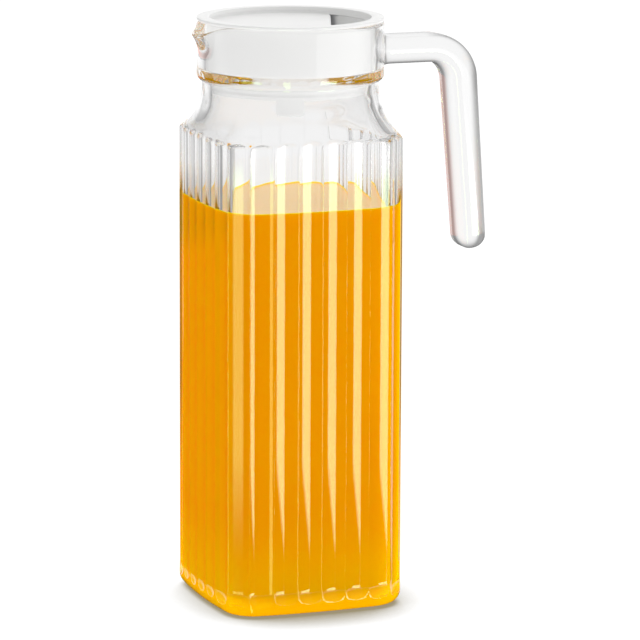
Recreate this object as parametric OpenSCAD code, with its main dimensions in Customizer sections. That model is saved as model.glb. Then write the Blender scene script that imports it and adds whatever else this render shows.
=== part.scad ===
// Moulded glass jug with fluted square body, round collar, open handle and push-in lid.
// The origin is the middle of the base. +Z is up, the handle points to +X and the spout to -X.

/* [Glass body] */
// Width of the body over two opposite flute ridges
body_w = 90; // [86:1:94]
// Corner radius of the body over the flute ridges
body_corner_r = 25.5; // [23:0.5:28]
// Height of the glass, from the table to the rim
glass_h = 263.5; // [240:0.5:300]
// Thickness of the wall behind a flute
wall = 3.4; // [3:0.1:4]
// Thickness of the floor
floor_t = 4.5; // [4:0.5:7]
// Radius between the wall and the floor inside
floor_r = 12; // [10:0.5:14]
// Radius of the inside corners of the body
inside_corner_r = 23; // [21:0.5:25]
// Rounding of the heel, where the wall meets the base
heel_r = 4.5; // [3.5:0.5:5.5]

/* [Flutes] */
// Number of flutes on each quarter of the body
quarter_flutes = 7; // [6:1:8]
// Depth of a flute below the line between its two ridges
flute_sag = 0.8; // [0.6:0.1:1]
// Height of the plain band under the flutes
flute_start = 5.5; // [5:0.5:7]

/* [Shoulder, neck and collar] */
// Height from the edge of the shoulder to the collar
shoulder_h = 26.6; // [24:0.2:30]
// How far the neck stands in from the sides of the body
neck_inset = 5.4; // [4.5:0.1:6.5]
// Thickness of the neck's wall
neck_wall = 4.3; // [3.9:0.1:4.7]
// How far the collar stands out from the neck
collar_overhang = 2.5; // [2:0.1:3]
// Thickness of the collar's wall, outside the lid's plug
collar_wall = 4.1; // [3.8:0.1:4.3]
// Height of the straight side of the collar
collar_h = 23.9; // [22:0.1:26]
// Rounding under the collar
collar_round = 3; // [2.6:0.1:3.4]
// Rounding of the rim
rim_round = 1; // [0.6:0.1:1.4]

/* [Spout] */
// How far the spout stands out of the collar
spout_reach = 4.5; // [3:0.5:6]
// Height of the spout below the rim, down to its channel at the tip
spout_drop = 5.5; // [4.5:0.5:6.5]
// Half of the width of the spout where it leaves the collar
spout_half_w = 9; // [7:0.5:11]
// Radius of the spout's tip
spout_tip_r = 2; // [1.6:0.2:2.4]

/* [Handle] */
// Distance from the collar to the middle of the grip, at its top
grip_reach = 38.9; // [36:0.1:44]
// How much further out the grip is at its free end
grip_flare = 6; // [3:0.5:9]
// Height of the arm, measured up and down
arm_h = 13.1; // [12:0.1:14]
// Depth of the middle of the arm below the rim
arm_drop = 14.8; // [13:0.1:16]
// Thickness of the grip at its top
grip_t = 15.4; // [14:0.2:17]
// Thickness of the grip at its free end
grip_end_t = 13.6; // [12:0.2:15]
// Width of the handle, from side to side
handle_w = 18; // [16:0.5:21]
// Radius of the bend between the arm and the grip
bend_r = 15.5; // [13:0.5:18]
// Length from the middle of the arm down to the free end of the grip
grip_l = 94.8; // [80:0.2:105]

/* [Lid] */
// Thickness of the lid's flange, on top of the rim
flange_t = 1.5; // [1.2:0.1:2]
// Wall thickness of the lid
lid_wall = 1.4; // [1.2:0.1:1.6]
// Depth of the shallow recess in the top of the lid
recess_h = 3; // [2.5:0.1:4]
// Depth of the finger pocket below the recess
pocket_h = 8; // [6:0.5:10]
// Distance from the middle of the lid to the straight side of the finger pocket
pocket_chord = 18.1; // [15:0.1:21]
// Length of the lid's plug below the rim
plug_h = 32; // [30:0.5:34]
// Gap round the plug
plug_gap = 0.4; // [0.3:0.1:0.6]
// Gap left at the lid's sealing beads
bead_gap = 0.15; // [0.1:0.05:0.25]
// Height of one sealing bead
bead_h = 1.6; // [1.2:0.1:2]
// Length of a tab below the plug
tab_h = 7; // [5:0.5:9]
// Width of a tab
tab_w = 12; // [9:0.5:15]
// Angle by which the lid is turned on the jug, anticlockwise from above
lid_turn = -20; // [-180:5:180]

/* [Hidden] */
$fn = 96;
// Overrun of the cutting solids
cut = 1;

// Body: a square with rounded corners
body_half = body_w / 2;
body_flat = body_half - body_corner_r;
quarter_l = 2 * body_flat + PI * body_corner_r / 2;
flute_n = 4 * quarter_flutes;
flute_w = 4 * quarter_l / flute_n;
// The cut goes a little deeper, so that two flutes meet in a clean ridge
flute_trim = 0.12;
flute_r = (flute_w * flute_w / 4 + flute_sag * flute_sag) / (2 * flute_sag);
flute_fade = sqrt(flute_r * flute_r - (flute_r - flute_sag) * (flute_r - flute_sag));
body_corner_reach = body_flat * sqrt(2) + body_corner_r;

// Inside of the body
inside_half = body_half - flute_sag - flute_trim - wall;
inside_corner_reach = (inside_half - inside_corner_r) * sqrt(2) + inside_corner_r;

// Neck and collar
neck_d = body_w - 2 * neck_inset;
neck_bore_d = neck_d - 2 * neck_wall;
collar_d = neck_d + 2 * collar_overhang;
collar_bore_d = collar_d - 2 * collar_wall;

// Heights
collar_z = glass_h - collar_h;
shoulder_z = collar_z - shoulder_h;
inside_shoulder_z = shoulder_z - wall;
bore_step_z = collar_z - collar_round / 2;
bore_step_h = (collar_bore_d - neck_bore_d) / 2;
// The cove of the shoulder falls away from the body with this power of the height
cove_power = 2.6;
cove_steps = 7;
round_steps = 3;
floor_steps = 5;
// The inside of the shoulder closes a little tighter than the bore that cuts it
inside_neck_r = neck_bore_d / 2 - wall / 3;
spout_facets = 24;
corner_facets = 72;

// Body outline followed from the middle of the front face, anticlockwise from above
function outline_at(l, half, r) =
    let (flat = half - r, arc = PI * r / 2, a = (l - flat) / r * 180 / PI)
    l <= flat ? [l, -half]
    : l <= flat + arc ? [flat + r * sin(a), -flat - r * cos(a)]
    : [half, l - 2 * flat - arc];
function turned(p, a) = [p[0] * cos(a) - p[1] * sin(a), p[0] * sin(a) + p[1] * cos(a)];
function ridge(k) =
    let (quarter = floor(k / quarter_flutes), rest = k - quarter * quarter_flutes)
    turned(outline_at(rest * flute_w, body_half, body_corner_r), quarter * 90);
function arc_points(cx, cy, r, from, to, steps) =
    [for (k = [0 : steps]) let (a = from + (to - from) * k / steps) [cx + r * cos(a), cy + r * sin(a)]];
function mirrored(points) = [for (k = [len(points) - 1 : -1 : 0]) [-points[k][0], points[k][1]]];
function moved(points, d) = [for (p = points) [p[0] + d, p[1]]];

// The cove between the body and the neck: near = 1 at the edge of the shoulder, 0 at the collar
function cove(z, rise, reach) = [for (k = [0 : cove_steps])
    let (t = k / cove_steps, near = pow(1 - t, cove_power)) [reach * near, z + rise * t]];

// Solid with a rounded-square plan, carried round by a profile of [distance from the flat's line, height]
module square_sweep(half, r, profile) {
    flat = half - r;
    low = profile[0][1];
    high = profile[len(profile) - 1][1];
    side = moved(profile, half);
    for (turn = [0, 90]) rotate([0, 0, turn])
        translate([0, flat, 0]) rotate([90, 0, 0])
            linear_extrude(height = 2 * flat) polygon(concat(side, mirrored(side)));
    for (turn = [0 : 90 : 270]) rotate([0, 0, turn])
        translate([flat, flat, 0])
            rotate_extrude($fn = corner_facets)
                polygon(concat([[0, low]], moved(profile, r), [[0, high]]));
}

// Solid of revolution under the cove, which rounds the square body off into the neck
module round_sweep(neck_r, corner_reach, z, rise, low) {
    profile = moved(cove(z, rise, corner_reach - neck_r), neck_r);
    rotate_extrude() polygon(concat([[0, low], [profile[0][0] + cut, low], [profile[0][0] + cut, z]],
        profile, [[0, z + rise]]));
}

// Body, shoulder and neck before the flutes are cut
module blank() {
    intersection() {
        square_sweep(body_half, body_corner_r, concat(
            moved(arc_points(0, heel_r, heel_r, -90, 0, round_steps), -heel_r),
            moved(cove(shoulder_z, shoulder_h, body_half - neck_d / 2), neck_d / 2 - body_half)));
        round_sweep(neck_d / 2, body_corner_reach, shoulder_z, shoulder_h, 0);
    }
}

// Inside of the body and shoulder
module cavity() {
    intersection() {
        square_sweep(inside_half, inside_corner_r, concat(
            moved(arc_points(0, floor_t + floor_r, floor_r, -90, 0, floor_steps), -floor_r),
            moved(cove(inside_shoulder_z, shoulder_h, inside_half - inside_neck_r),
                inside_neck_r - inside_half)));
        round_sweep(inside_neck_r, inside_corner_reach, inside_shoulder_z, shoulder_h, floor_t);
    }
}

// Bore of the neck and the wider bore of the collar, with the step between them
module bores() {
    start_z = shoulder_z + shoulder_h / 3;
    rotate_extrude() polygon([
        [0, start_z],
        [neck_bore_d / 2, start_z],
        [neck_bore_d / 2, bore_step_z],
        [collar_bore_d / 2, bore_step_z + bore_step_h],
        [collar_bore_d / 2, glass_h + cut],
        [0, glass_h + cut]
    ]);
}

module collar() {
    rotate_extrude() polygon(concat(
        [[0, collar_z - collar_round]],
        arc_points(collar_d / 2 - collar_round, collar_z, collar_round, -90, 0, 2 * round_steps),
        arc_points(collar_d / 2 - rim_round, glass_h - rim_round, rim_round, 0, 90, round_steps),
        [[0, glass_h]]
    ));
}

// One flute cutter: a round bar with a ball at its lower end, so that the flute runs out in an arch
module flute_cutter(k) {
    p = ridge(k);
    q = ridge(k + 1);
    middle = (p + q) / 2;
    chord = q - p;
    out = [chord[1], -chord[0]] / norm(chord);
    c = middle + out * (flute_r - flute_sag - flute_trim);
    translate([c[0], c[1], flute_start + flute_fade]) {
        cylinder(r = flute_r, h = shoulder_z + shoulder_h / 2 - flute_start - flute_fade);
        sphere(r = flute_r);
    }
}

module ball() sphere(r = spout_tip_r, $fn = spout_facets);

// Beak of the spout, from a wide root in the collar to a rounded tip
module spout_beak() {
    root_x = -(collar_d + collar_bore_d) / 4;
    tip_x = spout_tip_r - collar_d / 2 - spout_reach;
    lip_z = glass_h - spout_tip_r;
    hull() {
        for (side = [-1, 1])
            translate([root_x, side * spout_half_w, lip_z]) ball();
        translate([tip_x, 0, glass_h - spout_drop - spout_tip_r / 2]) ball();
        translate([root_x, 0, glass_h - 2 * spout_drop - spout_reach]) ball();
    }
}

// Channel of the spout: a cone that narrows towards the tip
module spout_channel() {
    channel_l = collar_d / 2 - neck_bore_d / 4;
    tip_x = collar_d / 2 + spout_reach;
    translate([-tip_x - cut, 0, glass_h])
        rotate([0, 90, 0])
            cylinder(r1 = spout_drop - cut, r2 = spout_drop + spout_half_w, h = channel_l);
}

module glass_body() {
    color([0.86, 0.92, 0.93, 0.45])
    difference() {
        union() {
            blank();
            collar();
            spout_beak();
        }
        cavity();
        bores();
        spout_channel();
        for (k = [0 : flute_n - 1]) flute_cutter(k);
    }
}

// Handle: one section carried along the arm, round the bend and down the grip
arm_z = glass_h - arm_drop;
grip_lean = atan2(grip_flare, grip_l - bend_r);
bend_turn = 90 - grip_lean;
section_n = 20;
// Rounding of the section's edges, as a share of its thickness
section_round_share = 0.42;
bend_steps = 8;
end_steps = 4;
// The last ring of the free end keeps this share of its thickness
end_share = 0.2;

function concat_all(lists) = [for (l = lists) each l];

// Closed skin through rings of the same number of points, listed from the start of the path
module loft(rings) {
    n = len(rings[0]);
    m = len(rings);
    start = [[for (i = [0 : n - 1]) i]];
    end = [[for (i = [n - 1 : -1 : 0]) (m - 1) * n + i]];
    sides = [for (j = [0 : m - 2]) for (i = [0 : n - 1])
        let (a = j * n + i, b = j * n + (i + 1) % n)
        each [[a, a + n, b], [b, a + n, b + n]]];
    polyhedron(concat_all(rings), concat(start, sides, end));
}

// The section is a rectangle with rounded edges, drawn across the path
function section(t, w) =
    let (r = t * section_round_share)
    concat_all([for (c = [[1, 1, 0], [-1, 1, 90], [-1, -1, 180], [1, -1, 270]])
        arc_points(c[0] * (w / 2 - r), c[1] * (t / 2 - r), r, c[2], c[2] + 90, section_n / 4 - 1)]);
// A ring of the handle at a place on its path, turned by a from the arm's direction
function handle_ring(x, z, a, t, w) = [for (p = section(t, w))
    [x + p[1] * sin(a), p[0], z + p[1] * cos(a)]];

module glass_handle() {
    bend_x = collar_d / 2 + grip_reach - bend_r;
    bend_z = arm_z - bend_r;
    down = [cos(bend_turn), -sin(bend_turn)];
    start = [bend_x + bend_r * sin(bend_turn), bend_z + bend_r * cos(bend_turn)];
    straight_l = grip_l - bend_r - grip_end_t / 2;
    function end_ring(k) =
        let (a = 90 * k / end_steps, s = straight_l + grip_end_t / 2 * sin(a), c = max(cos(a), end_share))
        handle_ring(start[0] + s * down[0], start[1] + s * down[1], bend_turn,
            grip_end_t * c, handle_w - grip_end_t * (1 - c));
    rings = concat(
        [handle_ring(neck_bore_d / 2, arm_z, 0, arm_h, handle_w)],
        [for (k = [0 : bend_steps])
            let (a = bend_turn * k / bend_steps, t = arm_h + (grip_t - arm_h) * k / bend_steps)
            handle_ring(bend_x + bend_r * sin(a), bend_z + bend_r * cos(a), a, t, handle_w)],
        [for (k = [0 : end_steps]) end_ring(k)]
    );
    color([0.86, 0.92, 0.93, 0.45])
    difference() {
        loft(rings);
        translate([0, 0, collar_z - collar_round - cut])
            cylinder(d = collar_d, h = collar_h + collar_round + 2 * cut);
    }
}

// Lid
lid_top = glass_h + flange_t;
recess_z = lid_top - recess_h;
plug_r = collar_bore_d / 2 - plug_gap;
plug_in_r = plug_r - lid_wall;
neck_plug_r = neck_bore_d / 2 - plug_gap;
neck_plug_in_r = neck_plug_r - lid_wall;
bead_r = neck_bore_d / 2 - bead_gap;
plug_z = glass_h - plug_h;
plug_step_z = bore_step_z + plug_gap;
plug_step_h = plug_r - neck_plug_r;
flange_edge = flange_t / 3;

// Sealing bead on the plug, seen as three points of its outline
function bead(z) = [[neck_plug_r, z], [bead_r, z + bead_h / 2], [neck_plug_r, z + bead_h]];

// Half-moon of the finger pocket, to the wall of the recess
module pocket_shape(r, chord, h) {
    intersection() {
        cylinder(r = r, h = h);
        translate([chord, -r, 0]) cube([r, 2 * r, h]);
    }
}

module lid() {
    pocket_z = recess_z - pocket_h;
    color([0.96, 0.96, 0.97])
    rotate([0, 0, lid_turn])
    union() {
        difference() {
            union() {
                rotate_extrude() polygon(concat(
                    [
                        [0, recess_z - lid_wall],
                        [plug_in_r, recess_z - lid_wall],
                        [plug_in_r, plug_step_z + plug_step_h],
                        [neck_plug_in_r, plug_step_z],
                        [neck_plug_in_r, plug_z],
                        [neck_plug_r, plug_z]
                    ],
                    bead(plug_z + bead_h / 2),
                    bead(plug_z + 2 * bead_h),
                    [
                        [neck_plug_r, plug_step_z],
                        [plug_r, plug_step_z + plug_step_h],
                        [plug_r, glass_h],
                        [collar_d / 2, glass_h],
                        [collar_d / 2, lid_top - flange_edge],
                        [collar_d / 2 - flange_edge, lid_top],
                        [plug_in_r, lid_top],
                        [plug_in_r, recess_z],
                        [0, recess_z]
                    ]
                ));
                translate([0, 0, pocket_z - lid_wall])
                    pocket_shape(plug_r, pocket_chord - lid_wall, pocket_h);
            }
            translate([0, 0, pocket_z])
                pocket_shape(plug_in_r, pocket_chord, pocket_h + recess_h + cut);
        }
        for (side = [-1, 1]) tab(side);
    }
}

// Tab that hangs below the plug and follows its wall
module tab(side) {
    translate([0, 0, plug_z - tab_h])
        intersection() {
            difference() {
                cylinder(r = neck_plug_r, h = tab_h);
                translate([0, 0, -cut]) cylinder(r = neck_plug_in_r, h = tab_h + 2 * cut);
            }
            translate([-tab_w / 2, side > 0 ? 0 : -neck_plug_r - cut, 0])
                cube([tab_w, neck_plug_r + cut, tab_h]);
        }
}

glass_body();
glass_handle();
lid();
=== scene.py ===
import math
import bpy
import numpy as np
from mathutils import Matrix, Vector


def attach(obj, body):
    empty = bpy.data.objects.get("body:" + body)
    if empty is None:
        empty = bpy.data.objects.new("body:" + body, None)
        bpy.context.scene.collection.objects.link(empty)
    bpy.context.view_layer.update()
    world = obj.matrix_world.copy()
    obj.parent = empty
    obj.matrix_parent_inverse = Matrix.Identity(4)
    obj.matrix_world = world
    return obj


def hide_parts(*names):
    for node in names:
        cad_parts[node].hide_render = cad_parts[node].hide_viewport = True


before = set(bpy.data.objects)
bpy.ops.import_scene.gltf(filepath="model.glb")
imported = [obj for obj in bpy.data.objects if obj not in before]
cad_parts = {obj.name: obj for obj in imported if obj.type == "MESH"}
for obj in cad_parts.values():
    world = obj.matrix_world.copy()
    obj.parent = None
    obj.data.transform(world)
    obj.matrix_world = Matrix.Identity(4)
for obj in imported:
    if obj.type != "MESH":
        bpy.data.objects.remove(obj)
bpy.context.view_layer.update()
mm = 0.001
print("frame loaded")

# the camera stands where the photograph was taken: two metres off, a little above the lid
view = {
    "place": (-0.6737, -1.8756, 0.5116), "turn": -20.152, "pitch": 10.932, "roll": 0.236,
    "lens": 252.1, "sensor": 36, "farEnd": 50,
}


def setCamera():
    turn, pitch, roll = (math.radians(view[k]) for k in ("turn", "pitch", "roll"))
    level = math.cos(pitch)
    ahead = Vector((-math.sin(turn) * level, math.cos(turn) * level, -math.sin(pitch)))
    right = Vector((math.cos(turn), math.sin(turn), 0))
    up = right.cross(ahead)
    tiltedRight = math.cos(roll) * right + math.sin(roll) * up
    tiltedUp = math.cos(roll) * up - math.sin(roll) * right
    axes = Matrix((tiltedRight, tiltedUp, -ahead)).transposed()
    data = bpy.data.cameras.new("camera")
    data.lens = view["lens"]
    data.sensor_width = view["sensor"]
    data.clip_end = view["farEnd"]
    camera = bpy.data.objects.new("camera", data)
    camera.matrix_world = Matrix.Translation(view["place"]) @ axes.to_4x4()
    bpy.context.scene.collection.objects.link(camera)
    bpy.context.scene.camera = camera


setCamera()
print("camera set")


# colours are written as sRGB hex and turned to linear here
def linear(hexText):
    parts = [int(hexText[i:i + 2], 16) / 255 for i in (1, 3, 5)]
    return tuple(p / 12.92 if p <= 0.04045 else ((p + 0.055) / 1.055) ** 2.4 for p in parts) + (1,)


def newMaterial(name):
    material = bpy.data.materials.new(name)
    material.use_nodes = True
    material.node_tree.nodes.clear()
    return material


# adds one node, sets its settings and fills or links its inputs; a node among the inputs stands for
# its first output
def addNode(tree, kind, settings=None, inputs=None):
    node = tree.nodes.new(kind)
    for key, value in (settings or {}).items():
        setattr(node, key, value)
    for socket, value in (inputs or {}).items():
        if isinstance(value, bpy.types.Node):
            value = value.outputs[0]
        if isinstance(value, bpy.types.NodeSocket):
            tree.links.new(value, node.inputs[socket])
        else:
            node.inputs[socket].default_value = value
    return node


# pressed soda-lime glass, fire polished: clear, with sharp highlights and a faint waviness
def pressedGlass():
    look = {
        "tint": "#FDFDFD", "ior": 1.5, "roughness": 0.0,
        "waveMm": 26, "waveDepthMm": 0.05, "waveUp": 0.3,
    }
    material = newMaterial("pressedGlass")
    tree = material.node_tree
    place = addNode(tree, "ShaderNodeTexCoord")
    # the waves are drawn out upwards, as the glass was
    stretched = addNode(tree, "ShaderNodeMapping", inputs={
        "Vector": place.outputs["Object"], "Scale": (1, 1, look["waveUp"])})
    wave = addNode(tree, "ShaderNodeTexNoise", inputs={
        "Vector": stretched, "Scale": 1 / (look["waveMm"] * mm), "Detail": 1.0, "Roughness": 0.4})
    bump = addNode(tree, "ShaderNodeBump", inputs={
        "Height": wave.outputs["Fac"], "Distance": look["waveDepthMm"] * mm, "Strength": 1.0})
    glass = addNode(tree, "ShaderNodeBsdfPrincipled", inputs={
        "Base Color": linear(look["tint"]), "Roughness": look["roughness"], "IOR": look["ior"],
        "Transmission Weight": 1.0, "Normal": bump})
    # light passes through to the juice and the floor as it does through real glass
    path = addNode(tree, "ShaderNodeLightPath")
    soft = addNode(tree, "ShaderNodeMath", {"operation": "MAXIMUM"}, {
        0: path.outputs["Is Shadow Ray"], 1: path.outputs["Is Diffuse Ray"]})
    passed = addNode(tree, "ShaderNodeBsdfTransparent", inputs={"Color": linear("#FFFFFF")})
    mixed = addNode(tree, "ShaderNodeMixShader", inputs={"Fac": soft, 1: glass, 2: passed})
    addNode(tree, "ShaderNodeOutputMaterial", inputs={"Surface": mixed})
    return material


# orange juice with fine pulp: dense and saturated, no sheen where it wets the glass
def orangeJuice(name, finish):
    look = {
        "ior": 1.34, "scatterMm": 7, "scatter": (1.0, 0.5, 0.12), "cloudMm": 45,
        "pulpMm": 0.9, "pulpColour": "#F5AC04", "pulpRange": (0.15, 0.4), "pulpShare": 0.25,
        "footMm": 48, "footColour": "#F2BA00", "footShare": 0.8,
        "glowColour": "#F5AC00", "footGlow": 0.85, "glowRange": (-1.0, -0.1),
        "onPaper": "#A8A59A", "reflectedShade": "#A87A0A", "farReflectedShade": "#E6E2DA", "farTurns": (12.0, 20.0),
    }
    material = newMaterial(name)
    tree = material.node_tree
    place = addNode(tree, "ShaderNodeTexCoord").outputs["Object"]
    pulp = addNode(tree, "ShaderNodeTexNoise", inputs={
        "Vector": place, "Scale": 1 / (look["pulpMm"] * mm), "Detail": 3.0})
    cloud = addNode(tree, "ShaderNodeTexNoise", inputs={
        "Vector": place, "Scale": 1 / (look["cloudMm"] * mm), "Detail": 1.0})
    both = addNode(tree, "ShaderNodeMath", {"operation": "MULTIPLY"}, {
        0: pulp.outputs["Fac"], 1: cloud.outputs["Fac"]})
    share = addNode(tree, "ShaderNodeMapRange", inputs={
        "Value": both, "From Min": look["pulpRange"][0], "From Max": look["pulpRange"][1],
        "To Min": 0.0, "To Max": look["pulpShare"]})
    mottled = addNode(tree, "ShaderNodeMix", {"data_type": "RGBA"}, {
        "Factor": share, "A": linear(finish["colour"]), "B": linear(look["pulpColour"])})
    # painted light: near the foot the colour turns yellower, where more light gets in
    up = addNode(tree, "ShaderNodeSeparateXYZ", inputs={0: place}).outputs["Z"]
    low = addNode(tree, "ShaderNodeMapRange", {"interpolation_type": "SMOOTHSTEP"}, {
        "Value": up, "From Min": 0.0, "From Max": look["footMm"] * mm,
        "To Min": look["footShare"], "To Max": 0.0})
    shade = addNode(tree, "ShaderNodeMix", {"data_type": "RGBA"}, {
        "Factor": low, "A": mottled.outputs["Result"], "B": linear(look["footColour"])})
    # painted glow: emission stands in for light that goes round under the foot through the glass,
    # so the underside glows; faces that look up get the finish's topGlow
    facing = addNode(tree, "ShaderNodeSeparateXYZ", inputs={
        0: addNode(tree, "ShaderNodeNewGeometry").outputs["Normal"]}).outputs["Z"]
    glow = addNode(tree, "ShaderNodeMapRange", inputs={
        "Value": facing, "From Min": look["glowRange"][0], "From Max": look["glowRange"][1],
        "To Min": look["footGlow"], "To Max": finish["topGlow"]})
    shader = addNode(tree, "ShaderNodeBsdfPrincipled", inputs={
        "Base Color": shade.outputs["Result"], "Roughness": finish["roughness"], "IOR": look["ior"],
        "Specular IOR Level": finish["gloss"], "Subsurface Weight": 1.0,
        "Subsurface Radius": look["scatter"], "Subsurface Scale": look["scatterMm"] * mm,
        "Emission Color": linear(look["glowColour"]), "Emission Strength": glow})
    # the paper catches less of the juice's colour than it would in full light
    path = addNode(tree, "ShaderNodeLightPath")
    grey = addNode(tree, "ShaderNodeBsdfDiffuse", inputs={"Color": linear(look["onPaper"])})
    direct = addNode(tree, "ShaderNodeMixShader", inputs={
        "Fac": path.outputs["Is Diffuse Ray"], 1: shader, 2: grey})
    # painted reflection: seen by way of reflections inside the wall of the glass, the juice is
    # painted darker and greener, and after many turns a colourless pale grey
    turns = addNode(tree, "ShaderNodeMapRange", inputs={
        "Value": path.outputs["Ray Depth"], "From Min": look["farTurns"][0],
        "From Max": look["farTurns"][1], "To Min": 0.0, "To Max": 1.0})
    faded = addNode(tree, "ShaderNodeMix", {"data_type": "RGBA"}, {
        "Factor": turns, "A": linear(look["reflectedShade"]), "B": linear(look["farReflectedShade"])})
    olive = addNode(tree, "ShaderNodeBsdfDiffuse", inputs={"Color": faded.outputs["Result"]})
    turned = addNode(tree, "ShaderNodeMath", {"operation": "SUBTRACT", "use_clamp": True}, {
        0: path.outputs["Is Glossy Ray"], 1: path.outputs["Is Transmission Ray"]})
    above = addNode(tree, "ShaderNodeMapRange", inputs={
        "Value": up, "From Min": look["footMm"] * mm, "From Max": 2 * look["footMm"] * mm,
        "To Min": 0.0, "To Max": 1.0})
    led = addNode(tree, "ShaderNodeMath", {"operation": "MULTIPLY"}, {0: turned, 1: above})
    mixed = addNode(tree, "ShaderNodeMixShader", inputs={"Fac": led, 1: direct, 2: olive})
    addNode(tree, "ShaderNodeOutputMaterial", inputs={"Surface": mixed})
    return material


# moulded white polyethylene: satin, slightly translucent, a very fine orange peel
def moldedPolyethylene():
    look = {
        "colour": "#EEEEED", "roughness": 0.32, "ior": 1.5, "scatterMm": 2.5, "scatterShare": 0.2,
        "peelMm": 0.5, "peelDepthMm": 0.004, "peelStrength": 0.6,
        "cornerShadeColour": "#B0B0B2", "cornerMm": 4, "cornerRange": (0.45, 0.7), "cornerSamples": 8,
    }
    material = newMaterial("moldedPolyethylene")
    tree = material.node_tree
    place = addNode(tree, "ShaderNodeTexCoord")
    peel = addNode(tree, "ShaderNodeTexNoise", inputs={
        "Vector": place.outputs["Object"], "Scale": 1 / (look["peelMm"] * mm), "Detail": 2.0})
    bump = addNode(tree, "ShaderNodeBump", inputs={
        "Height": peel.outputs["Fac"], "Distance": look["peelDepthMm"] * mm,
        "Strength": look["peelStrength"]})
    # painted shade: its own corners darken its colour: the recess, the finger pocket, the line
    # under the flange
    openness = addNode(tree, "ShaderNodeAmbientOcclusion", {
        "samples": look["cornerSamples"], "only_local": True}, {"Distance": look["cornerMm"] * mm})
    share = addNode(tree, "ShaderNodeMapRange", inputs={
        "Value": openness.outputs["AO"], "From Min": look["cornerRange"][0],
        "From Max": look["cornerRange"][1], "To Min": 0.0, "To Max": 1.0})
    shade = addNode(tree, "ShaderNodeMix", {"data_type": "RGBA"}, {
        "Factor": share, "A": linear(look["cornerShadeColour"]), "B": linear(look["colour"])})
    shader = addNode(tree, "ShaderNodeBsdfPrincipled", inputs={
        "Base Color": shade.outputs["Result"], "Roughness": look["roughness"], "IOR": look["ior"],
        "Subsurface Weight": look["scatterShare"], "Subsurface Radius": (1.0, 1.0, 1.0),
        "Subsurface Scale": look["scatterMm"] * mm, "Normal": bump})
    addNode(tree, "ShaderNodeOutputMaterial", inputs={"Surface": shader})
    return material


# shape tools: radii are worked out for all the columns of a ring at once, in millimetres
def smoothMin(a, b, k):
    h = np.maximum(k - np.abs(a - b), 0) / k
    return np.minimum(a, b) - h * h * k / 4


def smoothMax(a, b, k):
    return -smoothMin(-a, -b, k)


def smoothStep(low, high, x):
    t = np.clip((x - low) / (high - low), 0, 1)
    return t * t * (3 - 2 * t)


# middle of a corner's rounding, on the diagonal, from which it runs smoothly into two bulged sides
def cornerMiddle(half, corner):
    side = jug["sideR"]
    return (math.sqrt(2 * (side - corner) ** 2 - (side - half) ** 2) - side + half) / 2


# distance from the axis to a square with bulged sides and rounded corners, drawn in by an inset
def squareRadius(angle, half, corner, inset):
    a = np.abs((angle + math.pi / 4) % (math.pi / 2) - math.pi / 4)
    c = cornerMiddle(half, corner)
    back = jug["sideR"] - half
    turn = math.asin(c / (jug["sideR"] - corner))
    side = np.sqrt((jug["sideR"] - inset) ** 2 - (back * np.sin(a)) ** 2) - back * np.cos(a)
    middle = c * (np.cos(a) + np.sin(a))
    bend = middle + np.sqrt(np.maximum((corner - inset) ** 2 - 2 * c ** 2 + middle ** 2, 0))
    return np.where(side * np.sin(a) <= math.tan(turn) * (side * np.cos(a) + back), side, bend)


# all sizes are in millimetres, all angles in degrees
jug = {
    "width": 88.6, "height": 263.5, "sideR": 285, "cornerR": 16.2, "insideCornerR": 14.5,
    "wall": 3.4, "floor": 4.5, "floorR": 12, "heelR": 5.4,
    "flutesPerQuarter": 7, "fluteSag": 0.8, "fluteTrim": 0.12, "fluteStart": 6.0,
    "ridgeSoft": 0.3, "ridgeLine": 0.18, "ridgeLineW": 0.25,
    "shoulderH": 26.6, "shoulderSoft": 0.7, "covePower": 2.6, "edgeSoft": 0.3,
    "insideShoulderDrop": 0.6, "neckR": 39.6, "neckBoreR": 35.3, "neckSoft": 0.8, "stepH": 4.15,
    "collarR": 42.1, "collarBoreR": 38, "collarH": 23.9, "collarRound": 3, "rimRound": 1.4,
    "spoutReach": 4.6, "spoutDip": 4.6, "spoutHalfAngle": 38, "spoutThin": 2.0, "spoutSpread": 10.5,
    "spoutLow": 247.5, "spoutLowInside": 250.5, "spoutGrowth": 1.6,
    "dipShape": 1.5, "dipGrowth": 1.3, "sharpAngle": 50,
}
half = jug["width"] / 2
cornerC = cornerMiddle(half, jug["cornerR"])
sideTurn = math.asin(cornerC / (jug["sideR"] - jug["cornerR"]))
sideL = jug["sideR"] * sideTurn
cornerL = jug["cornerR"] * (math.pi / 2 - 2 * sideTurn)
quarter = 2 * sideL + cornerL
flutes = 4 * jug["flutesPerQuarter"]
fluteW = 4 * quarter / flutes
fluteR = (fluteW ** 2 / 4 + jug["fluteSag"] ** 2) / (2 * jug["fluteSag"])
fluteFade = math.sqrt(2 * fluteR * jug["fluteSag"] - jug["fluteSag"] ** 2)
insideHalf = half - jug["fluteSag"] - jug["fluteTrim"] - jug["wall"]
collarZ = jug["height"] - jug["collarH"]
shoulderZ = collarZ - jug["shoulderH"]
insideShoulderZ = shoulderZ - jug["insideShoulderDrop"]
insideNeckR = jug["neckBoreR"] - jug["wall"] / 3
stepZ = collarZ - jug["collarRound"] / 2
wallZ = 100  # any height at which the wall is straight
tiny = 1e-6


# a place on the body's outline, followed from the middle of the front face
def outlinePoint(length):
    turns, rest = divmod(length, quarter)
    sideR, cornerR = jug["sideR"], jug["cornerR"]
    if rest <= sideL:
        a = rest / sideR
        x, y = sideR * math.sin(a), sideR - half - sideR * math.cos(a)
    elif rest <= sideL + cornerL:
        a = sideTurn + (rest - sideL) / cornerR
        x, y = cornerC + cornerR * math.sin(a), -cornerC - cornerR * math.cos(a)
    else:
        a = (quarter - rest) / sideR
        x, y = half - sideR + sideR * math.cos(a), -sideR * math.sin(a)
    a = turns * math.pi / 2
    return x * math.cos(a) - y * math.sin(a), x * math.sin(a) + y * math.cos(a)


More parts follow.
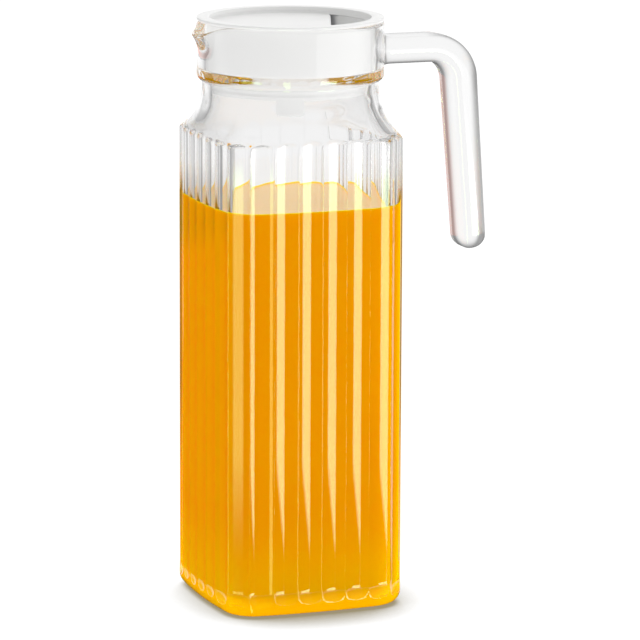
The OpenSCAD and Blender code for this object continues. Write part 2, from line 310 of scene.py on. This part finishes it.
# columns lie closer together beside a ridge, where the glass turns quickly
fluteSteps = [0, 0.012, 0.025, 0.045, 0.08, 0.14, 0.24, 0.37,
              0.5, 0.63, 0.76, 0.86, 0.92, 0.955, 0.975, 0.988]
columnPlaces = np.array([outlinePoint((k + u) * fluteW) for k in range(flutes) for u in fluteSteps])
columnAngles = np.arctan2(columnPlaces[:, 1], columnPlaces[:, 0])
columnFlute = np.repeat(np.arange(flutes), len(fluteSteps))


def fluteCentres():
    ridges = np.array([outlinePoint(k * fluteW) for k in range(flutes)])
    following = np.roll(ridges, -1, axis=0)
    chord = following - ridges
    out = np.stack([chord[:, 1], -chord[:, 0]], 1) / np.linalg.norm(chord, axis=1)[:, None]
    return (ridges + following) / 2 + out * (fluteR - jug["fluteSag"] - jug["fluteTrim"])


centres = fluteCentres()


# each ridge carries a fine raised line
columnShare = np.tile(fluteSteps, flutes)
ridgeAway = np.minimum(columnShare, 1 - columnShare) * fluteW
ridgeLine = jug["ridgeLine"] * np.exp(-(ridgeAway / jug["ridgeLineW"]) ** 2)


# distance from the axis to the hollow of the flutes at a height
def fluteRadius(z):
    ballZ = jug["fluteStart"] + fluteFade
    r = math.sqrt(max(fluteR ** 2 - max(ballZ - z, 0) ** 2, 0))
    radius = None
    for step in (-1, 0, 1):
        c = centres[(columnFlute + step) % flutes]
        along = c[:, 0] * np.cos(columnAngles) + c[:, 1] * np.sin(columnAngles)
        across = (c ** 2).sum(1) - along ** 2
        near = np.where(across < r * r, along - np.sqrt(np.maximum(r * r - across, 0)), 999.0)
        radius = near if radius is None else smoothMin(radius, near, jug["ridgeSoft"])
    return radius + ridgeLine


# how near the shoulder's cove still is to the body: 1 at its edge, 0 at the collar
def coveShare(z, start):
    lift = z - start
    lift = (math.sqrt(lift * lift + jug["shoulderSoft"] ** 2) + lift) / 2
    return (1 - min(lift / jug["shoulderH"], 1)) ** jug["covePower"]


def outsideRadius(z, inset=0.0):
    square = squareRadius(columnAngles, half, jug["cornerR"], inset)
    blank = jug["neckR"] + (square - jug["neckR"]) * coveShare(z, shoulderZ)
    return smoothMin(blank, fluteRadius(z), jug["edgeSoft"])


def insideRadius(z, inset=0.0):
    square = squareRadius(columnAngles, insideHalf, jug["insideCornerR"], inset)
    if inset > 0:
        return square
    cove = insideNeckR + (square - insideNeckR) * coveShare(z, insideShoulderZ)
    return smoothMax(cove, jug["neckBoreR"], jug["neckSoft"])


# pulls the collar out and down into the pouring lip
def pulledLip(r, z, outer):
    away = np.abs(np.degrees(columnAngles % (2 * math.pi) - math.pi))
    low = jug["spoutLow"] if outer else jug["spoutLowInside"]
    rise = np.clip((z - low) / (jug["height"] - low), 0, 1)
    reach = jug["spoutReach"] + (0 if outer else jug["spoutThin"])
    out = reach * np.exp(-(away / jug["spoutSpread"]) ** 2) * rise ** jug["spoutGrowth"]
    dip = (1 - smoothStep(0, jug["spoutHalfAngle"], away)) ** jug["dipShape"]
    return r + out, z - jug["spoutDip"] * dip * rise ** jug["dipGrowth"]


def ringPoints(r, z):
    r = np.broadcast_to(r, columnAngles.shape)
    z = np.broadcast_to(z, columnAngles.shape)
    return np.stack([r * np.cos(columnAngles), r * np.sin(columnAngles), z], 1)


# closed skin through rings of points, each end closed by a fan to its middle point
def skin(name, rings):
    n = len(rings[0])
    top = (len(rings) - 1) * n
    first, last = len(rings) * n, len(rings) * n + 1
    points = np.concatenate(rings + [[rings[0].mean(0)], [rings[-1].mean(0)]])
    faces = []
    for j in range(len(rings) - 1):
        for i in range(n):
            k = (i + 1) % n
            faces.append((j * n + i, j * n + k, (j + 1) * n + k, (j + 1) * n + i))
    for i in range(n):
        k = (i + 1) % n
        faces.append((first, k, i))
        faces.append((last, top + i, top + k))
    mesh = bpy.data.meshes.new(name)
    mesh.from_pydata((points * mm).tolist(), [], faces)
    mesh.update()
    piece = bpy.data.objects.new(name, mesh)
    bpy.context.scene.collection.objects.link(piece)
    return piece


def smoothShade(piece, sharpAngle):
    piece.data.shade_smooth()
    piece.data.set_sharp_from_angle(angle=math.radians(sharpAngle))


# adds or cuts another shape and leaves one clean mesh
def combine(piece, other, operation):
    change = piece.modifiers.new(operation, "BOOLEAN")
    change.operation = operation
    change.object = other
    change.solver = "MANIFOLD"
    graph = bpy.context.evaluated_depsgraph_get()
    applied = bpy.data.meshes.new_from_object(piece.evaluated_get(graph))
    piece.modifiers.clear()
    piece.data = applied
    bpy.data.objects.remove(other)


def arc(cx, cz, r, start, end, steps):
    angles = [math.radians(start + (end - start) * k / steps) for k in range(steps + 1)]
    return [(cx + r * math.cos(a), cz + r * math.sin(a)) for a in angles]


def glassRings():
    top, rim, collarRound = jug["height"], jug["rimRound"], jug["collarRound"]
    rings = [ringPoints(outsideRadius(0, jug["heelR"]) * share, 0) for share in (0.5, 0.9, 0.99)]
    # heel
    for k in range(9):
        a = math.pi / 2 * k / 8
        inset, z = jug["heelR"] * (1 - math.sin(a)), jug["heelR"] * (1 - math.cos(a))
        rings.append(ringPoints(outsideRadius(0, inset), z))
    # flutes run out above the plain band
    fade = [jug["fluteStart"] + fluteFade * 1.05 * (k / 12) ** 1.6 for k in range(13)]
    straight = list(np.arange(fade[-1] + 12, shoulderZ - 8, 16)) + [shoulderZ - 6, shoulderZ - 3.5]
    cove = list(np.arange(shoulderZ - 2.2, shoulderZ + 9, 0.4))
    cove += list(np.arange(shoulderZ + 9, collarZ - 4.4, 1.0))
    for z in fade + straight + cove:
        rings.append(ringPoints(outsideRadius(z), z))
    # the neck turns out into the rounded lower edge of the collar
    for z in np.arange(collarZ - 4.2, collarZ + 0.01, 0.3):
        drop = max(collarZ - z, 0)
        if drop < collarRound:
            bulge = jug["collarR"] - collarRound + math.sqrt(max(collarRound ** 2 - drop ** 2, 0))
        else:
            bulge = jug["collarR"] - collarRound - 2 * (drop - collarRound)
        rings.append(ringPoints(smoothMax(outsideRadius(z), bulge, jug["neckSoft"]), z))
    # collar, rounded rim and down again into the bore
    for z in np.linspace(collarZ + 2, top - rim - 0.3, 14):
        rings.append(ringPoints(*pulledLip(jug["collarR"], z, True)))
    for r, z in arc(jug["collarR"] - rim, top - rim, rim, 0, 90, 6):
        rings.append(ringPoints(*pulledLip(r, z, True)))
    for r, z in arc(jug["collarBoreR"] + rim, top - rim, rim, 90, 180, 6):
        rings.append(ringPoints(*pulledLip(r, z, False)))
    for z in np.linspace(top - rim - 0.3, stepZ + jug["stepH"] + 1.5, 12):
        rings.append(ringPoints(*pulledLip(jug["collarBoreR"], z, False)))
    # the sloping step down to the bore of the neck
    step = jug["collarBoreR"] - jug["neckBoreR"]
    for share in (1.1, 1.0, 0.93, 0.5, 0.07, 0, -0.1):
        r = jug["neckBoreR"] + step * min(max(share, 0), 1)
        rings.append(ringPoints(r, stepZ + jug["stepH"] * share))
    # neck, shoulder and straight wall, seen from inside
    inner = list(np.arange(stepZ - 2, insideShoulderZ + 14, -1.5))
    inner += list(np.arange(insideShoulderZ + 13.5, insideShoulderZ - 2, -0.6))
    inner += [insideShoulderZ - 3, insideShoulderZ - 5]
    inner += list(np.arange(insideShoulderZ - 16, jug["floor"] + jug["floorR"] + 10, -16))
    inner.append(jug["floor"] + jug["floorR"] + 3)
    for z in inner:
        rings.append(ringPoints(insideRadius(z), z))
    # rounded floor
    for k in range(10):
        a = math.pi / 2 * k / 9
        inset, z = max(jug["floorR"] * (1 - math.cos(a)), tiny), jug["floorR"] * (1 - math.sin(a))
        rings.append(ringPoints(insideRadius(wallZ, inset), jug["floor"] + z))
    base = insideRadius(wallZ, jug["floorR"])
    rings += [ringPoints(base * share, jug["floor"]) for share in (0.99, 0.9, 0.5)]
    return rings


handle = {
    "reach": 81, "flare": 6, "armH": 13.1, "armDrop": 14.8, "bendR": 15.5, "width": 18,
    "gripL": 94.8, "gripT": 15.4, "endT": 13.6, "roundShare": 0.4,
    "rootX": 41.0, "rootFillet": 1.6, "filletL": 5.4, "filletShape": 2.4, "endShare": 0.97,
    "armSteps": (39.6, 41.0, 41.6, 42.1, 42.5, 43.0, 43.6, 44.3, 45.2, 46.4, 48, 51, 56, 61),
}


def handleSection(thick, wide):
    r = min(thick, wide) * handle["roundShare"]
    points = []
    for sx, sy, a in ((1, 1, 0), (-1, 1, 90), (-1, -1, 180), (1, -1, 270)):
        points += arc(sx * (wide / 2 - r), sy * (thick / 2 - r), r, a, a + 90, 8)
    return points


def handleRings():
    armH, width, bendR, endT = (handle[k] for k in ("armH", "width", "bendR", "endT"))
    armZ = jug["height"] - handle["armDrop"]
    lean = math.atan2(handle["flare"], handle["gripL"] - bendR)
    turn = math.pi / 2 - lean
    bendX, bendZ = handle["reach"] - bendR, armZ - bendR
    rings = []

    def add(x, z, a, thick, wide):
        rings.append(np.array([(x + q * math.sin(a), p, z + q * math.cos(a))
                               for p, q in handleSection(thick, wide)]))

    # the arm swells into the collar in a small fillet
    for x in handle["armSteps"]:
        along = max(x - handle["rootX"], 0) / handle["filletL"]
        grown = 2 * handle["rootFillet"] * max(1 - along, 0) ** handle["filletShape"]
        add(x, armZ, 0, armH + grown, width + grown)
    for k in range(17):
        share = k / 16
        a = turn * share
        thick = armH + (handle["gripT"] - armH) * smoothStep(0, 1, share)
        add(bendX + bendR * math.sin(a), bendZ + bendR * math.cos(a), a, thick, width)
    # the grip narrows a little to its rounded free end
    startX, startZ = bendX + bendR * math.sin(turn), bendZ + bendR * math.cos(turn)
    straight = handle["gripL"] - bendR - endT / 2
    for k in range(1, 9):
        s = straight * k / 9
        thick = handle["gripT"] + (endT - handle["gripT"]) * k / 9
        add(startX + s * math.cos(turn), startZ - s * math.sin(turn), turn, thick, width)
    for k in range(13):
        a = math.pi / 2 * handle["endShare"] * k / 12
        s = straight + endT / 2 * math.sin(a)
        thick, wide = endT * math.cos(a), width - endT * (1 - math.cos(a))
        add(startX + s * math.cos(turn), startZ - s * math.sin(turn), turn, thick, wide)
    return rings


def buildGlass():
    piece = skin("pressed_jug", glassRings())
    combine(piece, skin("handle_blank", handleRings()), "UNION")
    smoothShade(piece, jug["sharpAngle"])
    piece.data.materials.clear()
    piece.data.materials.append(pressedGlass())
    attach(piece, "jug")
    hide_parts("glass_body", "glass_handle")
    print("glass built,", len(piece.data.polygons), "faces")


juice = {
    "level": 183, "wetting": 0.2, "sunk": 3.3, "footR": 9, "surfaceBand": 0.8, "sharpAngle": 35,
    "side": {"colour": "#EB9C00", "roughness": 0.6, "gloss": 0.0, "topGlow": 0.0},
    # the open surface is a lighter yellow and carries a faint painted glow (topGlow)
    "surface": {"colour": "#EFC050", "roughness": 0.08, "gloss": 0.5, "topGlow": 0.14},
    # how far in from the glass and how far below its edge the surface lies
    "meniscus": ((0.15, 0.12), (0.5, 0.36), (1.1, 0.5), (2.2, 0.58),
                 (5, 0.6), (15, 0.6), (30, 0.6)),
}


def buildJuice():
    wet, level, footR = juice["wetting"], juice["level"], juice["footR"]
    # the foot of the glass is a lens that shows the juice down to the table, so it is drawn so deep
    floorZ = jug["floor"] - juice["sunk"]
    base = insideRadius(wallZ, footR) + wet
    rings = [ringPoints(base * share, floorZ) for share in (0.3, 0.7, 0.98)]
    for k in range(10):
        a = math.pi / 2 * k / 9
        inset, z = max(footR * (1 - math.sin(a)), tiny), floorZ + footR * (1 - math.cos(a))
        rings.append(ringPoints(insideRadius(wallZ, inset) + wet, z))
    for z in np.linspace(jug["floor"] + jug["floorR"] + 4, level, 9):
        rings.append(ringPoints(insideRadius(z) + wet, z))
    # the surface climbs a little where it meets the glass
    for back, drop in juice["meniscus"]:
        rings.append(ringPoints(insideRadius(level) + wet - back, level - drop))
    piece = skin("juice_fill", rings)
    smoothShade(piece, juice["sharpAngle"])
    piece.data.materials.append(orangeJuice("juiceAgainstGlass", juice["side"]))
    piece.data.materials.append(orangeJuice("juiceSurface", juice["surface"]))
    for face in piece.data.polygons:
        if face.center.z > (level - juice["surfaceBand"]) * mm and face.normal.z > 0.9:
            face.material_index = 1
    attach(piece, "jug")
    print("juice filled in")


cap = {
    "flangeT": 1.5, "wall": 1.4, "recess": 3, "pocket": 8, "chord": 18.1, "plug": 32, "gap": 0.4,
    "beadGap": 0.15, "beadH": 1.6, "tabH": 7, "tabW": 12, "turn": -20,
    "edge": 0.5, "lipRound": 0.35, "fillet": 1.0, "plateR": 20, "sharpAngle": 35,
}


def lidProfile():
    top = jug["height"] + cap["flangeT"]
    recessZ = top - cap["recess"]
    plugR = jug["collarBoreR"] - cap["gap"]
    innerR = plugR - cap["wall"]
    neckR = jug["neckBoreR"] - cap["gap"]
    neckInnerR = neckR - cap["wall"]
    plugZ = jug["height"] - cap["plug"]
    bendZ = stepZ + cap["gap"]
    wideZ = bendZ + jug["stepH"]
    e, lip, fillet = cap["edge"], cap["lipRound"], cap["fillet"]
    flangeR = jug["collarR"]
    points = [(cap["plateR"], recessZ - cap["wall"]), (innerR - 0.3, recessZ - cap["wall"])]
    points += [(innerR, recessZ - cap["wall"] - 0.3), (innerR, wideZ + 0.2)]
    points += [(neckInnerR, bendZ), (neckInnerR, plugZ + 0.3)]
    points += arc(neckInnerR + lip, plugZ + lip, lip, 180, 270, 3)
    points += arc(neckR - lip, plugZ + lip, lip, 270, 360, 3)
    # two sealing beads
    swell = jug["neckBoreR"] - cap["beadGap"] - neckR
    for z in (plugZ + cap["beadH"] / 2, plugZ + 2 * cap["beadH"]):
        points += [(neckR + swell * math.sin(math.pi * k / 6), z + cap["beadH"] * k / 6)
                   for k in range(7)]
    points += [(neckR, bendZ - 0.4), (neckR + 0.2, bendZ)]
    points += [(plugR - 0.2, wideZ - 0.3), (plugR, wideZ + 0.3)]
    points += [(plugR, jug["height"] - 0.4), (plugR + 0.4, jug["height"])]
    points += arc(flangeR - e, jug["height"] + e, e, -90, 0, 4)
    points += arc(flangeR - e, top - e, e, 0, 90, 4)
    points += arc(innerR + e, top - e, e, 90, 180, 4)
    points += [(innerR, recessZ + fillet + 0.2)]
    points += arc(innerR - fillet, recessZ + fillet, fillet, 0, -90, 4)
    points += [(cap["plateR"], recessZ)]
    return points, innerR, recessZ, plugZ, neckR, neckInnerR, plugR


def lathed(name, points):
    steps = 256
    angles = 2 * math.pi * np.arange(steps) / steps
    x, y, flat = np.cos(angles), np.sin(angles), np.ones(steps)
    return skin(name, [np.stack([r * x, r * y, z * flat], 1) for r, z in points])


# half-moon prism through levels of [height, growth of its outline]
def halfMoon(name, radius, chord, levels):
    rings = []
    for z, grow in levels:
        r, c = radius, chord - grow
        reach = math.acos(c / r)
        turns = np.linspace(-reach, reach, 41)
        points = [(r * math.cos(a), r * math.sin(a), z) for a in turns]
        edge = r * math.sin(reach)
        points += [(c, y, z) for y in np.linspace(edge, -edge, 13)[1:-1]]
        rings.append(np.array(points))
    return skin(name, rings)


def tabBlank(name, side, innerR, outerR, low, high):
    rings = []
    for z, trim in ((low, 1.4), (low + 0.4, 0.6), (low + 1.2, 0), (high, 0)):
        reach = math.asin((cap["tabW"] / 2 - trim) / outerR)
        turns = np.linspace(-reach, reach, 13) + side * math.pi / 2
        thin = 0.25 if trim > 1 else 0
        points = [((outerR - thin) * math.cos(a), (outerR - thin) * math.sin(a), z) for a in turns]
        points += [((innerR + thin) * math.cos(a), (innerR + thin) * math.sin(a), z)
                   for a in turns[::-1]]
        rings.append(np.array(points))
    return skin(name, rings)


def buildLid():
    points, innerR, recessZ, plugZ, neckR, neckInnerR, plugR = lidProfile()
    piece = lathed("push_in_lid", points)
    pocketZ = recessZ - cap["pocket"]
    shell = [(pocketZ - cap["wall"], 0), (recessZ - 0.5, 0)]
    shellChord = cap["chord"] - cap["wall"]
    combine(piece, halfMoon("pocket_shell", plugR - 0.6, shellChord, shell), "UNION")
    # the pocket's floor and its edge on the recess are rounded
    hollow = [(pocketZ, -0.8), (pocketZ + 0.25, -0.3), (pocketZ + 0.8, 0)]
    hollow += [(recessZ - 0.8, 0), (recessZ - 0.25, 0.25), (recessZ + 0.05, 0.9)]
    combine(piece, halfMoon("pocket_cut", innerR, cap["chord"], hollow), "DIFFERENCE")
    low, high = plugZ - cap["tabH"], plugZ + 1
    for side in (-1, 1):
        tab = tabBlank("tab_blank", side, neckInnerR + 0.1, neckR - 0.02, low, high)
        combine(piece, tab, "UNION")
    piece.data.transform(Matrix.Rotation(math.radians(cap["turn"]), 4, "Z"))
    smoothShade(piece, cap["sharpAngle"])
    piece.data.materials.clear()
    piece.data.materials.append(moldedPolyethylene())
    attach(piece, "lid")
    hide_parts("lid")
    print("lid built,", len(piece.data.polygons), "faces")


buildGlass()
buildJuice()
buildLid()

# turns are degrees round the jug from the handle's side; heights are sines above the horizon
studio = {
    "ambient": 0.92, "keyTurn": 35, "keyShare": 0.47,
    # low down, beside the juice, a mirror sees a tall softbox at the front right, a fill light, a
    # thin strip that draws the ridges, warm light for the left face, and the white sweep
    "below": {
        "softbox": {"turn": -61.5, "wide": 19, "soft": 2.5, "light": 9.5, "colour": "#D6FFC0",
                    "slope": 0.049, "rise": (-0.18178, -0.17378)},
        "fill": {"turn": -158, "wide": 21, "soft": 6, "light": 5.2, "colour": "#D4FF98",
                 "rise": (-0.245, -0.215)},
        "ridges": {"turn": -114, "wide": 7, "soft": 1.5, "light": 5, "colour": "#D4FF88"},
        "warm": {"turn": 115, "wide": 50, "soft": 8, "light": 1, "colour": "#F06400",
                 "rise": (-0.3, -0.27), "fall": (-0.176, -0.168)},
        "sweep": {"turn": 61, "wide": 56, "soft": 6, "light": 1,
                  "slope": 0.0487, "rise": (-0.275, -0.267)},
        "room": {"light": 0.01},
    },
    # above the juice the clear glass mirrors a white room
    "above": {
        "softbox": {"turn": -61.5, "wide": 19, "soft": 2.5, "light": 9.5, "fall": (-0.153, -0.147)},
        "overhead": {"turn": 70, "wide": 40, "soft": 10, "light": 1.05, "rise": (-0.12, -0.08)},
        "backWall": {"turn": 85, "wide": 130, "soft": 25, "light": 0.7,
                     "fall": (-0.12, -0.08), "left": 0.1},
        "frontWall": {"turn": -36, "wide": 80, "soft": 4, "light": 1.1,
                      "fall": (-0.12, -0.08), "left": 0.1},
        "room": {"light": 0.35, "fall": (-0.12, -0.08), "left": 0.1},
    },
    "change": (-0.161, -0.154),
    # what glass shows of the sweep behind it, by how far it turns a ray away from its middle
    "sweepMiddle": {"turn": 70, "along": 0.98, "down": 0.19},
    "sweepSeen": {"least": 0.34, "steps": ((0.7, 0.955, 0.0, 0.65), (0.1, 0.5, 0.4, 0.0))},
}


def directionTo(turn, along=1.0, down=0.0):
    a = math.radians(turn)
    return math.cos(a) * along, math.sin(a) * along, -down


# adds up strips of light, each one soft at its sides and, where it says so, at its foot and head
def addStrips(tree, turn, height, strips):
    total = (0, 0, 0)
    for strip in strips.values():
        fades = []
        if "turn" in strip:
            middle, side = math.radians(strip["turn"]), strip["wide"] / 2
            off = addNode(tree, "ShaderNodeMath", {"operation": "SUBTRACT"}, {0: turn, 1: middle})
            near = addNode(tree, "ShaderNodeMath", {"operation": "WRAP"}, {
                0: off, 1: math.pi, 2: -math.pi})
            away = addNode(tree, "ShaderNodeMath", {"operation": "ABSOLUTE"}, {0: near})
            fades.append((away, math.radians(side), math.radians(side + strip["soft"]), 1.0, 0.0))
        tilt = addNode(tree, "ShaderNodeMath", {"operation": "MULTIPLY"}, {
            0: turn, 1: strip.get("slope", 0.0)})
        level = addNode(tree, "ShaderNodeMath", {"operation": "SUBTRACT"}, {0: height, 1: tilt})
        if "rise" in strip:
            fades.append((level, *strip["rise"], 0.0, 1.0))
        if "fall" in strip:
            fades.append((level, *strip["fall"], 1.0, strip.get("left", 0.0)))
        light = strip["light"]
        for value, low, high, start, end in fades:
            fade = addNode(tree, "ShaderNodeMapRange", {"interpolation_type": "SMOOTHSTEP"}, {
                "Value": value, "From Min": low, "From Max": high, "To Min": start, "To Max": end})
            light = addNode(tree, "ShaderNodeMath", {"operation": "MULTIPLY"}, {0: light, 1: fade})
        coloured = addNode(tree, "ShaderNodeVectorMath", {"operation": "SCALE"}, {
            0: linear(strip.get("colour", "#FFFFFF"))[:3], "Scale": light})
        total = addNode(tree, "ShaderNodeVectorMath", {"operation": "ADD"}, {0: total, 1: coloured})
    return total


# soft light for matt things, strips for mirrors, the sweep for glass and white for the camera
def lightWorld():
    world = bpy.data.worlds.new("studio")
    bpy.context.scene.world = world
    world.use_nodes = True
    tree = world.node_tree
    tree.nodes.clear()
    white = (1, 1, 1)
    way = addNode(tree, "ShaderNodeTexCoord").outputs["Generated"]
    parts = addNode(tree, "ShaderNodeSeparateXYZ", inputs={0: way})
    height = parts.outputs["Z"]
    turn = addNode(tree, "ShaderNodeMath", {"operation": "ARCTAN2"}, {
        0: parts.outputs["Y"], 1: parts.outputs["X"]})
    below = addStrips(tree, turn, height, studio["below"])
    above = addStrips(tree, turn, height, studio["above"])
    change = addNode(tree, "ShaderNodeMapRange", {"interpolation_type": "SMOOTHSTEP"}, {
        "Value": height, "From Min": studio["change"][0], "From Max": studio["change"][1],
        "To Min": 0.0, "To Max": 1.0})
    mirrored = addNode(tree, "ShaderNodeMix", {"data_type": "VECTOR"}, {
        "Factor": change, "A": below, "B": above})
    # glass that turns a ray past the side of the sweep shows grey
    facing = addNode(tree, "ShaderNodeVectorMath", {"operation": "DOT_PRODUCT"}, {
        0: way, 1: directionTo(**studio["sweepMiddle"])})
    seen = studio["sweepSeen"]["least"]
    for low, high, start, end in studio["sweepSeen"]["steps"]:
        step = addNode(tree, "ShaderNodeMapRange", {"interpolation_type": "SMOOTHSTEP"}, {
            "Value": facing.outputs["Value"], "From Min": low, "From Max": high,
            "To Min": start, "To Max": end})
        seen = addNode(tree, "ShaderNodeMath", {"operation": "ADD"}, {0: seen, 1: step})
    through = addNode(tree, "ShaderNodeVectorMath", {"operation": "SCALE"}, {
        0: white, "Scale": seen})
    # soft light comes from above and behind, less from the front left
    lit = addNode(tree, "ShaderNodeVectorMath", {"operation": "DOT_PRODUCT"}, {
        0: way, 1: directionTo(studio["keyTurn"])})
    soft = addNode(tree, "ShaderNodeMath", {"operation": "MULTIPLY_ADD"}, {
        0: lit.outputs["Value"], 1: studio["keyShare"], 2: studio["ambient"]})
    light = addNode(tree, "ShaderNodeVectorMath", {"operation": "SCALE"}, {0: white, "Scale": soft})
    path = addNode(tree, "ShaderNodeLightPath")
    kinds = {"Is Glossy Ray": mirrored.outputs["Result"], "Is Transmission Ray": through,
             "Is Camera Ray": white}
    for ray, shown in kinds.items():
        light = addNode(tree, "ShaderNodeMix", {"data_type": "VECTOR"}, {
            "Factor": path.outputs[ray], "A": light, "B": shown}).outputs["Result"]
    background = addNode(tree, "ShaderNodeBackground", inputs={"Color": light})
    addNode(tree, "ShaderNodeOutputWorld", inputs={"Surface": background})


# matt white paper: no sheen, with a soft warm painted shadow where something stands on it
def mattWhitePaper():
    look = {
        "colour": "#FFFFFF", "lift": 0.86, "bright": 1.12, "bounce": 1.35,
        "contactShadow": "#9B9074", "contactMm": 40, "contactRange": (0.3, 0.75), "contactSamples": 16,
        "lean": (0.0, 0.5, 0.87),
    }
    material = newMaterial("mattWhitePaper")
    tree = material.node_tree
    # painted shadow: deepest where the jug touches the paper and longest in front of it
    lean = addNode(tree, "ShaderNodeCombineXYZ", inputs=dict(zip("XYZ", look["lean"])))
    openness = addNode(tree, "ShaderNodeAmbientOcclusion", {"samples": look["contactSamples"]}, {
        "Distance": look["contactMm"] * mm, "Normal": lean})
    share = addNode(tree, "ShaderNodeMapRange", inputs={
        "Value": openness.outputs["AO"], "From Min": look["contactRange"][0],
        "From Max": look["contactRange"][1], "To Min": 0.0, "To Max": 1.0})
    shade = addNode(tree, "ShaderNodeMix", {"data_type": "RGBA"}, {
        "Factor": share, "A": linear(look["contactShadow"]), "B": linear(look["colour"])})
    shade = shade.outputs["Result"]
    matt = addNode(tree, "ShaderNodeBsdfDiffuse", inputs={"Color": shade})
    # it is lit beyond white, which only the jug's soft light shows
    path = addNode(tree, "ShaderNodeLightPath")
    bounce = addNode(tree, "ShaderNodeMapRange", inputs={
        "Value": path.outputs["Is Diffuse Ray"], "To Min": look["bright"],
        "To Max": (look["bounce"] - 1 + look["lift"]) / look["lift"]})
    bright = addNode(tree, "ShaderNodeEmission", inputs={"Color": shade, "Strength": bounce})
    white = addNode(tree, "ShaderNodeMixShader", inputs={"Fac": look["lift"], 1: matt, 2: bright})
    # mirror and glass rays pass it and meet the sweep
    clear = addNode(tree, "ShaderNodeBsdfTransparent")
    either = addNode(tree, "ShaderNodeMath", {"operation": "MAXIMUM"}, {
        0: path.outputs["Is Glossy Ray"], 1: path.outputs["Is Transmission Ray"]})
    mixed = addNode(tree, "ShaderNodeMixShader", inputs={"Fac": either, 1: white, 2: clear})
    addNode(tree, "ShaderNodeOutputMaterial", inputs={"Surface": mixed})
    return material


# the sheet of paper, in metres, and the gap that keeps it clear of the foot
floorSheet = {"size": 24, "gapMm": 0.3}


def layFloor():
    half, low = floorSheet["size"] / 2, -floorSheet["gapMm"] * mm
    mesh = bpy.data.meshes.new("floor")
    corners = [(-half, -half, low), (half, -half, low), (half, half, low), (-half, half, low)]
    mesh.from_pydata(corners, [], [(0, 1, 2, 3)])
    mesh.materials.append(mattWhitePaper())
    floor = bpy.data.objects.new("floor", mesh)
    bpy.context.scene.collection.objects.link(floor)


# metres and watts; glass and gloss don't show them
lamps = {
    "overhead": {"place": (0.1, 0.2, 1.5), "size": 1.2, "power": 0.4},
    "frontRight": {"place": (0.75, -1.1, 0.7), "size": 0.8, "power": 1.0},
}
lampTarget = Vector((0, 0, 0.12))


def addLamps():
    for name, lamp in lamps.items():
        data = bpy.data.lights.new(name, "AREA")
        data.size = lamp["size"]
        data.energy = lamp["power"]
        lampObject = bpy.data.objects.new(name, data)
        lampObject.location = lamp["place"]
        aim = lampTarget - Vector(lamp["place"])
        lampObject.rotation_euler = aim.to_track_quat("-Z", "Y").to_euler()
        lampObject.visible_glossy = False
        lampObject.visible_transmission = False
        bpy.context.scene.collection.objects.link(lampObject)


lightWorld()
layFloor()
addLamps()

# light turns many times inside the flutes before it leaves the glass
bounces = {
    "max_bounces": 64, "transmission_bounces": 64, "glossy_bounces": 64,
    "transparent_max_bounces": 24,
}
scene = bpy.context.scene
scene.view_settings.view_transform = "Standard"
for key, value in bounces.items():
    setattr(scene.cycles, key, value)
scene.cycles.caustics_reflective = False
scene.cycles.caustics_refractive = False
scene.cycles.use_denoising = True
print("studio set")
